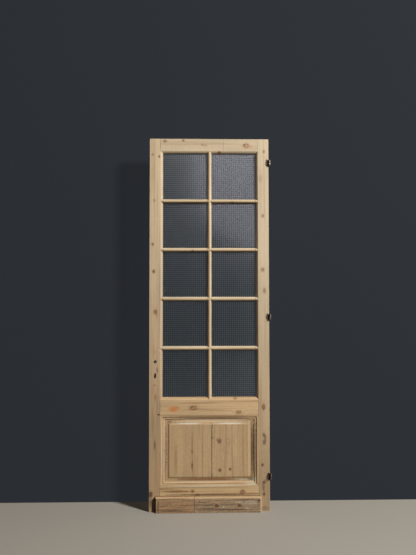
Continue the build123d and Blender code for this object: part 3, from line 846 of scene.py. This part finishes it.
@dataclass
class Studio:
    """Floor, backdrop, lamps and camera, in metres, watts and degrees."""

    aim_height: float = 1.2
    key_place: Place = (6.9, -7.2, 6.6)
    key_size: float = 1.6
    key_power: float = 1760.0
    back_place: Place = (-1.5, 4.5, 3.4)
    back_size: float = 2.0
    back_power: float = 150.0
    sheen_place: Place = (0.55, -4.6, 3.05)
    sheen_aim_height: float = 1.9
    sheen_size: float = 2.1
    sheen_power: float = 40.0
    sheen_colour: tuple[float, float, float] = (0.93, 0.88, 1.0)
    fill: float = 0.06
    fill_colour: Colour = (1.0, 0.98, 0.95, 1.0)
    floor_reach: float = 7.0
    floor_finish: PlainFinish = PlainFinish("pale_floor", (172, 165, 153), bounce=(66, 62, 57))
    wall_reach: float = 3.0
    wall_distance: float = 0.2
    wall_height: float = 4.2
    wall_finish: PlainFinish = PlainFinish("slate_backdrop", (36, 39, 43), glow=1.0)
    eye: Place = (-0.5015, -4.2, 1.2908)
    yaw: float = 1.538
    pitch: float = 2.469
    roll: float = -0.044
    lens: float = 42.59

    def sheet(self, name: str, corners: Sequence[Sequence[float]], finish: PlainFinish) -> Object:
        """Make a flat sheet that isn't part of the object.

        Args:
            name: Its name.
            corners: Its corners in order.
            finish: Its finish.

        Returns:
            The sheet.
        """
        made = mesh_object(name, corners, [range(len(corners))])
        made.data.materials.append(finish.material())
        LOG.info("%s stands behind or under the leaf", name)
        return made

    def lamp(
        self, name: str, place: Sequence[float], aim: Sequence[float], size: float, power: float
    ) -> Object:
        """Hang a square lamp that the camera doesn't see.

        Args:
            name: Its name.
            place: Where it hangs.
            aim: Where it points.
            size: Its width.
            power: Its power in watts.

        Returns:
            The lamp.
        """
        data = bpy.data.lights.new(name, "AREA")
        data.size, data.energy = size, power
        made = bpy.data.objects.new(name, data)
        bpy.context.scene.collection.objects.link(made)
        made.location = place
        made.rotation_euler = (Vector(aim) - Vector(place)).to_track_quat("-Z", "Y").to_euler()
        made.visible_camera = False
        LOG.info("%s: %.0f W", name, power)
        return made

    def surroundings(self, middle: float) -> None:
        """Lay the floor and hang the backdrop.

        Args:
            middle: X of the leaf's middle.
        """
        side = self.floor_reach
        left, right = middle - side, middle + side
        corners = [(left, -side, 0), (right, -side, 0), (right, side, 0), (left, side, 0)]
        self.sheet("floor", corners, self.floor_finish).visible_glossy = False
        left, right = middle - self.wall_reach, middle + self.wall_reach
        y, top = self.wall_distance, self.wall_height
        corners = [(left, y, 0.0), (right, y, 0.0), (right, y, top), (left, y, top)]
        backdrop = self.sheet("backdrop", corners, self.wall_finish)
        backdrop.visible_shadow = backdrop.visible_diffuse = False

    def build(self) -> None:
        """Build the surroundings, the light and the camera."""
        middle = LOCK_EDGE_X / 2
        self.surroundings(middle)
        aim = (middle, 0, self.aim_height)
        self.lamp("key_lamp", self.key_place, aim, self.key_size, self.key_power)
        back = self.lamp("back_lamp", self.back_place, aim, self.back_size, self.back_power)
        lit = bpy.data.collections.new("lit from behind")
        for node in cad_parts.values():
            lit.objects.link(node)
        back.light_linking.receiver_collection = lit
        aim = (middle, 0, self.sheen_aim_height)
        sheen = self.lamp("sheen_lamp", self.sheen_place, aim, self.sheen_size, self.sheen_power)
        sheen.data.color, sheen.data.shape = self.sheen_colour, "DISK"
        sheen.visible_diffuse = sheen.visible_transmission = False
        world = bpy.data.worlds.new("studio")
        world.use_nodes = True
        sky = world.node_tree.nodes["Background"]
        Sketch(world.node_tree).fill(sky, Color=self.fill_colour, Strength=self.fill)
        bpy.context.scene.world = world
        bpy.context.scene.view_settings.view_transform = "Standard"
        self.camera()

    def camera(self) -> None:
        """Set the camera up where the photograph was taken from."""
        data = bpy.data.cameras.new("camera")
        data.sensor_width, data.lens = 36.0, self.lens
        made = bpy.data.objects.new("camera", data)
        bpy.context.scene.collection.objects.link(made)
        yaw, pitch = math.radians(self.yaw), math.radians(self.pitch)
        ahead = Vector((math.sin(yaw) * math.cos(pitch), math.cos(yaw) * math.cos(pitch), math.sin(pitch)))
        facing = ahead.to_track_quat("-Z", "Y").to_matrix() @ Matrix.Rotation(math.radians(self.roll), 3, "Z")
        made.matrix_world = Matrix.Translation(self.eye) @ facing.to_4x4()
        bpy.context.scene.camera = made


STILE_RING = (158, 120, 80)
RAIL_RING = (142, 102, 62)
FOOT_PALE, FOOT_RING = (210, 180, 134), (128, 90, 54)
MOULDING_PALE = (204, 172, 130)
# Colour of painted shade under the glazing bars and at their ends
UNDERSIDE_SHADE = (104, 82, 54)


def dirt_and_shade_line(x: float, z: float, half_x: float, half_z: float, strength: float = 0.8, breaks: float = 0.3) -> Stain:
    """A dark line: old dirt in a joint, and in some places painted shade on or beside a moulding."""
    return Stain(x, z, half_x, half_z, BARK, strength, 0.5, breaks)


def hinge_notch_shade(z: float) -> Stain:
    """Painted shade in the notch beside a knuckle."""
    return Stain(752, z, 13, 28, (52, 36, 24), 0.95, 0.3)


def slope_light_and_shade(x: float, half_x: float) -> tuple[Stain, Stain]:
    """Painted highlight on the slope along a weatherboard's top, and painted shadow over it."""
    shadow = Stain(x, 102, half_x, 4, (92, 70, 48), 0.7, 0.4, 0.2)
    return Stain(x, 93, half_x, 5.5, MOULDING_PALE, 0.9, 0.4), shadow


LOCK_STILE = PineFinish(
    "lock_stile_pine", Grain.UPRIGHT, (202, 178, 143), STILE_RING, 3.1, -0.80, 0.05, figure=0.38, streaks=0.45,
    foot_darkening=0.9,
    knots=(
        Knot(20, 2259, 6, 7, KNOT_RED, 0.6), Knot(61, 2247, 5, 7, KNOT_DARK), Knot(30, 1964, 6, 7, KNOT_RED, 0.6),
        Knot(20, 1683, 6, 8), Knot(27, 1509, 8, 9, KNOT_BROWN, 0.9), Knot(39, 1253, 10, 12, KNOT_BROWN, 0.7),
        Knot(62, 604, 4, 4, KNOT_DARK), Knot(11, 110, 11, 14, KNOT_DARK),
    ),
    stains=(
        Stain(39, 708, 7, 34, KNOT_RED, 0.5), Stain(36, 416, 10, 40, SMOKE, 0.55),
        Stain(36, 791, 6, 6, BARK, 0.85, 0.5), Stain(50, 897, 4, 9, SMOKE, 0.6),
        Stain(38, 875, 24, 128, (206, 182, 146), 0.3, 0.2), Stain(46, 1240, 10, 34, KNOT_RED, 0.35),
        dirt_and_shade_line(69, 2323, 1.6, 60), dirt_and_shade_line(69, 640, 1.4, 80, 0.6), dirt_and_shade_line(69, 100, 1.4, 70, 0.6),
        Stain(24, 560, 16, 120, STREAK_BROWN, 0.35, 0.9), Stain(0, 1300, 4, 1100, (228, 206, 172), 0.6, 0.4),
        Stain(38, 937, 11, 11, BARK, 0.95, 0.3), Stain(38, 850, 8, 19, BARK, 0.95, 0.3),
        Stain(25, 852, 4, 18, (226, 182, 132), 0.6, 0.6), Stain(51, 885, 8, 24, (120, 80, 66), 0.65, 0.6, 0.6),
        Stain(28, 760, 8, 60, (196, 140, 104), 0.4, 0.8), Stain(40, 720, 12, 26, (170, 112, 92), 0.4, 0.8),
        Stain(24, 1000, 10, 60, (196, 150, 112), 0.35, 0.8), Stain(12, 60, 14, 50, SMOKE, 0.6, 0.8),
        Stain(76, 1984, 4, 7, CHALK_AND_HIGHLIGHT, 0.8, 0.4), Stain(76, 2262, 4, 8, CHALK_AND_HIGHLIGHT, 0.6, 0.4),
        # The strips at x 85 and 77 are painted: shade along the left sash's glass edge, and its lit bevel toned dimmer
        # and cooler
        Stain(85, 1490, 4, 1400, (112, 98, 80), 0.6, 0.4), Stain(77, 1490, 7, 1400, (186, 172, 150), 0.5, 0.6),
        Stain(66, 1010, 4, 7, CHALK_AND_HIGHLIGHT, 0.8, 0.4), Stain(37, 997, 1.8, 12, BARK, 0.6, 0.5),
        Stain(58, 606, 10, 5, BARK, 0.8, 0.5, 0.3),
    ),
)
HINGE_STILE = PineFinish(
    "hinge_stile_pine", Grain.UPRIGHT, (207, 187, 155), STILE_RING, 8.6, 0.06, 0.05, figure=0.32, streaks=0.35,
    foot_darkening=0.95,
    knots=(
        Knot(732, 2282, 6, 8, KNOT_RED, 0.7), Knot(725, 1867, 7, 9, KNOT_BROWN, 0.6), Knot(722, 1521, 9, 11),
        Knot(733, 1387, 8, 14), Knot(724, 649, 8, 12, (160, 118, 86), 0.85), Knot(716, 288, 6, 8), Knot(724, 178, 7, 8),
        Knot(724, 106, 7, 8),
    ),
    stains=(
        Stain(710, 2107, 16, 40, KNOT_RED, 0.35), Stain(724, 475, 11, 22, PURPLE, 0.75),
        Stain(727, 428, 14, 22, PURPLE, 0.75), Stain(724, 660, 14, 40, KNOT_RED, 0.3),
        dirt_and_shade_line(693, 2323, 1.2, 60, 0.6), dirt_and_shade_line(693, 640, 1.6, 80), dirt_and_shade_line(693, 100, 1.4, 70, 0.6),
        # The dark strip at x 689 is painted shade on the right sash bevel, which faces away from the light
        Stain(726, 140, 13, 60, KNOT_BROWN, 0.3, 0.9), Stain(689, 1490, 5, 1400, (88, 72, 52), 0.8, 0.4),
        Stain(728, 1350, 70, 520, (226, 204, 172), 0.22, 0.9), Stain(708, 2150, 10, 34, (214, 150, 118), 0.45, 0.8),
        Stain(716, 2020, 8, 60, (206, 152, 120), 0.3, 0.8), Stain(734, 452, 10, 46, PURPLE, 0.7, 0.7, 0.5),
        Stain(720, 150, 10, 40, (110, 78, 66), 0.5, 0.8, 0.5), Stain(736, 190, 12, 20, (104, 74, 62), 0.5, 0.7, 0.4),
        # The three marks in the hinge notches are painted shade
        Stain(728, 20, 40, 18, SMOKE, 0.35, 0.8), hinge_notch_shade(2206), hinge_notch_shade(1215), hinge_notch_shade(213),
    ),
)
TOP_RAIL = PineFinish(
    "top_rail_pine", Grain.LEVEL, (200, 179, 147), STILE_RING, 5.2, 2.24, 0.05, ring_width=0.006, figure=0.32,
    streaks=0.35,
    knots=(
        Knot(97, 2346, 10, 7, KNOT_BROWN, 0.7), Knot(215, 2352, 6, 5), Knot(338, 2324, 9, 6, KNOT_RED, 0.4),
        Knot(360, 2321, 7, 6, KNOT_RED, 0.35), Knot(618, 2320, 15, 11, (186, 148, 108), 0.85, 1.6),
        Knot(446, 2277, 8, 5, KNOT_DARK),
    ),
    stains=(
        Stain(472, 2322, 1.4, 48, SMOKE, 0.7, 0.5, 0.3), Stain(606, 2325, 5, 8, BARK, 0.85, 0.5),
        Stain(646, 2314, 26, 12, (196, 138, 96), 0.5, 0.8, 0.4), dirt_and_shade_line(69, 2323, 1.6, 60),
        dirt_and_shade_line(693, 2323, 1.2, 60, 0.6),
    ),
)
LOCK_RAIL = PineFinish(
    "lock_rail_pine", Grain.LEVEL, (208, 176, 133), RAIL_RING, 12.4, 0.60, 0.05, ring_width=0.006, streaks=0.7,
    knots=(
        Knot(279, 647, 19, 12, (164, 128, 88), 0.85, 1.5), Knot(566, 619, 14, 9, (150, 112, 78), 0.8, 1.4),
        Knot(545, 705, 8, 5, KNOT_RED), Knot(172, 646, 14, 8, (176, 104, 56), 0.4),
    ),
    stains=(
        Stain(156, 641, 46, 27, (208, 138, 76), 0.8, 0.8), Stain(148, 636, 36, 14, (200, 122, 60), 0.6, 0.8, 0.3),
        Stain(270, 652, 10, 5, BARK, 0.6, 0.5), dirt_and_shade_line(69, 640, 1.6, 80), dirt_and_shade_line(693, 640, 1.6, 80),
    ),
)
BOTTOM_RAIL = PineFinish(
    "bottom_rail_pine", Grain.LEVEL, FOOT_PALE, FOOT_RING, 17.9, 0.16, 0.05, foot_darkening=0.35, ring_width=0.006, streaks=0.75,
    knots=(
        Knot(275, 127, 9, 8, KNOT_BROWN, 0.8), Knot(305, 103, 12, 8, KNOT_DARK, 0.8),
        Knot(589, 121, 14, 13, KNOT_RED, 0.7, 1.4),
    ),
    stains=(
        Stain(175, 127, 120, 11, (132, 86, 46), 0.75, 0.7, 0.2), Stain(589, 124, 12, 9, PURPLE, 0.6),
        # The dark line at height 106 is painted shade in the gap above the weatherboard
        Stain(390, 106, 340, 4.5, (84, 62, 42), 0.75, 0.5, 0.2), Stain(380, 153, 330, 3, (98, 92, 66), 0.45, 0.5, 0.2),
        dirt_and_shade_line(69, 100, 1.4, 70, 0.7), dirt_and_shade_line(693, 100, 1.4, 70, 0.7),
    ),
)
MULLION = PineFinish(
    "mullion_pine", Grain.UPRIGHT, (202, 176, 138), STILE_RING, 21.3, -0.36, 0.04,
    # The whitish strip at x 389 is a painted highlight on the mullion's right slope
    stains=(Stain(389, 1490, 4, 1400, CHALK_AND_HIGHLIGHT, 0.35, 0.5, 0.2),),
)
# Height of each painted mark along the bars, its half height and its strength, from the top bar down
BAR_UNDERSIDE_SHADES = ((1951, 6, 0.7), (1638, 5, 0.55), (1325, 4, 0.4), (1012, 4, 0.3))
BAR_TOP_CHALK_AND_HIGHLIGHT = ((1970, 3, 0.4), (1657, 3, 0.4), (1344, 4, 0.5), (1031, 4, 0.55))
BARS = PineFinish(
    "glazing_bar_pine", Grain.LEVEL, (206, 181, 143), STILE_RING, 24.7, 0.2, 0.6, figure=0.55,
    knots=(Knot(528, 1952, 7, 6, KNOT_DARK), Knot(274, 1640, 6, 6, KNOT_DARK)),
    stains=(
        # Painted shade: dark strips at the bars' ends, where they meet the sashes and the mullion
        *(Stain(x, 1490, 3.5, 2000, UNDERSIDE_SHADE, 0.55, 0.6) for x in (86, 368, 393, 676)),
        # Painted shade along the lower half of each bar
        *(Stain(380, z, 900, half, UNDERSIDE_SHADE, strength, 0.4) for z, half, strength in BAR_UNDERSIDE_SHADES),
        # White paint residue and a painted highlight along each bar's top
        *(Stain(380, z, 900, half, CHALK_AND_HIGHLIGHT, strength, 0.5, 0.2) for z, half, strength in BAR_TOP_CHALK_AND_HIGHLIGHT),
    ),
)
PANEL = PineFinish(
    "panel_pine", Grain.UPRIGHT, (192, 162, 121), (132, 94, 56), 31.0, -0.30, 0.06, ring_width=0.0055, waver=0.02,
    figure=0.62, streaks=0.55, mottle=0.5,
    knots=(
        Knot(447, 255, 9, 9, KNOT_DARK, 0.8), Knot(512, 261, 7, 8, KNOT_DARK, 0.8),
        Knot(444, 437, 10, 11, PURPLE, 0.8, 1.5), Knot(498, 437, 14, 16, KNOT_RED, 0.25, 1.5),
        Knot(272, 285, 5, 14, KNOT_BROWN, 0.6), Knot(272, 373, 5, 9, KNOT_BROWN, 0.6),
    ),
    stains=(
        Stain(444, 437, 18, 22, PURPLE, 0.6), Stain(430, 446, 8, 16, PURPLE, 0.5),
        Stain(498, 437, 16, 20, (206, 170, 128), 0.4), Stain(272, 285, 7, 52, KNOT_BROWN, 0.5),
        Stain(272, 420, 6, 130, STREAK_BROWN, 0.7), Stain(170, 320, 12, 120, STREAK_BROWN, 0.5),
        dirt_and_shade_line(396, 378, 3.2, 210, 0.75), Stain(397, 484, 6, 84, BARK, 0.8, 0.5, 0.8),
        # The white strips at height 547 are paint residue and a painted highlight on the field's top bevel
        Stain(396, 220, 6, 60, SMOKE, 0.5, 0.6, 0.6), Stain(250, 547, 90, 5, CHALK_AND_HIGHLIGHT, 0.85, 0.5, 0.3),
        Stain(510, 547, 106, 5, CHALK_AND_HIGHLIGHT, 0.85, 0.5, 0.3), Stain(570, 195, 96, 5, (196, 204, 180), 0.75, 0.5, 0.35),
        # Painted light and shade: the pale band at height 560 lights the top margin, the dark line at x 650 is shade
        # beside the right moulding, and the brown band at height 197 is shade under the field's lower edge
        dirt_and_shade_line(108, 378, 7, 210, 0.8, 0.8), Stain(380, 560, 300, 8, (226, 198, 160), 0.8, 0.4),
        dirt_and_shade_line(650, 378, 7, 220, 0.75, 0.2), Stain(380, 197, 275, 13, (130, 86, 42), 0.8, 0.6),
        Stain(640, 200, 24, 30, BARK, 0.5, 0.8), Stain(130, 566, 24, 30, BARK, 0.5, 0.8),
    ),
)
MOULDING_LEVEL = PineFinish(
    "level_moulding_pine", Grain.LEVEL, MOULDING_PALE, RAIL_RING, 37.2, 0.9, 0.3, figure=0.5, streaks=0.7,
    stains=(
        # On the top moulding, the dark band at height 594 and the line at 579 are painted shade on its downward face,
        # and the pale band at 570 is painted light
        Stain(390, 594, 330, 9, (122, 96, 64), 0.6, 0.5), dirt_and_shade_line(390, 579, 310, 4, 0.65, 0.2),
        Stain(390, 570, 300, 5, (250, 222, 182), 0.9, 0.5), dirt_and_shade_line(380, 172, 300, 1.6, 0.5, 0.4),
        Stain(330, 184, 240, 5, CHALK_AND_HIGHLIGHT, 0.4, 0.6, 0.6), Stain(380, 160, 310, 4, (212, 210, 184), 0.8, 0.5, 0.25),
        # The band at height 187 is painted shade over the lit inner lip of the bottom moulding
        Stain(640, 172, 50, 12, (206, 212, 190), 0.5, 0.6, 0.5), Stain(380, 187, 320, 4, (168, 140, 106), 0.6, 0.5),
    ),
)
MOULDING_UPRIGHT = PineFinish(
    "upright_moulding_pine", Grain.UPRIGHT, MOULDING_PALE, RAIL_RING, 41.9, -1.4, 0.3, figure=0.5, streaks=0.7,
    stains=(
        dirt_and_shade_line(88, 378, 1.8, 230, 0.6, 0.4), dirt_and_shade_line(74, 378, 1.6, 230, 0.5, 0.4),
        # The lines at x 674 and 661 are painted shade on the right moulding, which faces away from the light
        dirt_and_shade_line(674, 378, 3.5, 230, 0.75, 0.2), dirt_and_shade_line(661, 378, 5.0, 230, 0.85, 0.1),
        Stain(668, 190, 16, 30, (206, 212, 190), 0.5, 0.6, 0.6),
        Stain(81, 378, 3, 220, (216, 206, 182), 0.55, 0.5, 0.4), Stain(100, 378, 4, 215, BARK, 0.75, 0.5, 0.85),
        Stain(92, 378, 3, 200, CHALK_AND_HIGHLIGHT, 0.4, 0.5, 0.6),
    ),
)
BEADS = PineFinish("bead_pine", Grain.UPRIGHT, (196, 166, 126), RAIL_RING, 44.0, -1.5, 0.3, figure=0.4)
WEATHERBOARD_SHORT = PineFinish(
    "short_weatherboard_pine", Grain.LEVEL, (172, 137, 99), (70, 48, 32), 51.5, -0.24, 0.03, ring_width=0.0085,
    figure=0.95, streak=(88, 60, 38), streaks=0.75, foot_darkening=0.25, wear=0.8, mottle=1.9,
    stains=(
        *slope_light_and_shade(165, 400), Stain(150, 70, 90, 2.5, BARK, 0.5, 0.6, 0.5), Stain(190, 36, 70, 2, BARK, 0.5, 0.6, 0.5),
        dirt_and_shade_line(285, 50, 2, 60, 0.8, 0.1), Stain(120, 22, 90, 7, BARK, 0.3, 0.8),
        Stain(110, 58, 60, 2, BARK, 0.7, 0.6, 0.6), Stain(230, 48, 50, 2, BARK, 0.6, 0.6, 0.5),
        Stain(95, 44, 30, 3, BARK, 0.6, 0.6, 0.6), Stain(150, 14, 120, 3, BARK, 0.8, 0.6, 0.4),
        Stain(90, 84, 40, 2.5, SMOKE, 0.7, 0.6, 0.5), Stain(60, 40, 10, 60, BARK, 0.5, 0.8, 0.3),
        Stain(200, 26, 80, 2, BARK, 0.8, 0.6, 0.5), Stain(240, 78, 40, 2, BARK, 0.7, 0.6, 0.5),
        Stain(170, 90, 100, 2, BARK, 0.7, 0.6, 0.5),
    ),
)
WEATHERBOARD_LONG = PineFinish(
    "long_weatherboard_pine", Grain.LEVEL, (166, 139, 106), (62, 46, 34), 57.8, -0.3, 0.03, ring_width=0.0085,
    figure=0.95, streak=(78, 58, 42), streaks=0.75, foot_darkening=0.25, wear=1.0, mottle=1.9,
    knots=(Knot(426, 45, 12, 10, KNOT_DARK), Knot(569, 45, 12, 9, KNOT_DARK)),
    stains=(
        Stain(440, 54, 12, 8, CHALK_AND_HIGHLIGHT, 0.7, 0.5, 0.9), Stain(586, 54, 14, 9, CHALK_AND_HIGHLIGHT, 0.7, 0.5, 0.9),
        Stain(640, 60, 60, 22, CHALK_AND_HIGHLIGHT, 0.65, 0.6, 0.85), Stain(470, 36, 16, 10, CHALK_AND_HIGHLIGHT, 0.7, 0.5, 0.85),
        Stain(560, 66, 30, 8, CHALK_AND_HIGHLIGHT, 0.7, 0.5, 0.85), Stain(620, 28, 26, 8, CHALK_AND_HIGHLIGHT, 0.6, 0.5, 0.85),
        Stain(330, 66, 50, 2, BARK, 0.8, 0.6, 0.5), Stain(440, 88, 150, 2, BARK, 0.8, 0.6, 0.5),
        Stain(600, 84, 90, 3, BARK, 0.8, 0.6, 0.4), Stain(380, 30, 60, 2.5, BARK, 0.7, 0.6, 0.5),
        Stain(690, 74, 16, 14, BARK, 0.7, 0.7, 0.6), Stain(480, 62, 60, 2, BARK, 0.7, 0.6, 0.5), *slope_light_and_shade(500, 500),
        # The pale strip at x 705 is a painted highlight on the board's right end chamfer
        Stain(705, 50, 5, 80, (214, 180, 132), 0.7, 0.4), Stain(480, 76, 190, 2.5, BARK, 0.55, 0.6, 0.5),
        Stain(520, 20, 190, 5, BARK, 0.4, 0.7, 0.4), Stain(380, 50, 70, 2.5, BARK, 0.5, 0.6, 0.6),
        Stain(660, 34, 44, 2.5, BARK, 0.5, 0.6, 0.4),
    ),
)


class Leaf:
    """The leaf's fixed solids and the finish of each."""

    BOARDS = (
        (LOCK_STILE, ("lock_stile",)), (HINGE_STILE, ("hinge_stile",)), (TOP_RAIL, ("top_rail",)),
        (LOCK_RAIL, ("lock_rail",)), (BOTTOM_RAIL, ("bottom_rail",)), (MULLION, ("mullion",)),
        (BARS, tuple(f"glazing_bar_{row}" for row in BAR_ROWS)), (PANEL, ("panel_board_left", "panel_board_right")),
        (
            MOULDING_LEVEL,
            tuple(f"{kind}_moulding_{side}" for kind in ("panel", "back") for side in ("top", "bottom")),
        ),
        (
            MOULDING_UPRIGHT,
            tuple(f"{kind}_moulding_{side}" for kind in ("panel", "back") for side in ("left", "right")),
        ),
        (BEADS, (*(f"glazing_beads_{row}" for row in PANE_ROWS), "wedges_lock_side", "wedges_hinge_side")),
        (WEATHERBOARD_SHORT, ("weatherboard_short",)), (WEATHERBOARD_LONG, ("weatherboard_long",)),
    )

    def dress(self, effects: Effects, iron: Material) -> None:
        """Put a finish on each fixed node.

        Args:
            effects: The shared node groups.
            iron: The hinges' finish.
        """
        for finish, nodes in self.BOARDS:
            self.cover(finish.material(effects), nodes)
        self.cover(iron, HINGES)

    @staticmethod
    def cover(material: Material, nodes: Sequence[str]) -> None:
        """Put a material on every slot of some nodes.

        Args:
            material: The material.
            nodes: Their names.
        """
        for node in nodes:
            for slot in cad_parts[node].material_slots:
                slot.material = material
            LOG.info("%s is finished as %s", node, material.name)


def main() -> None:
    """Build the scene piece by piece."""
    logging.basicConfig(level=logging.INFO, format="%(message)s")
    effects = Effects()
    iron = IronFinish().material()
    Leaf().dress(effects, iron)
    PressedGlass().build(GlassFinish().material())
    Fixings().build(iron)
    Studio().build()


if __name__ == "__main__":
    main()
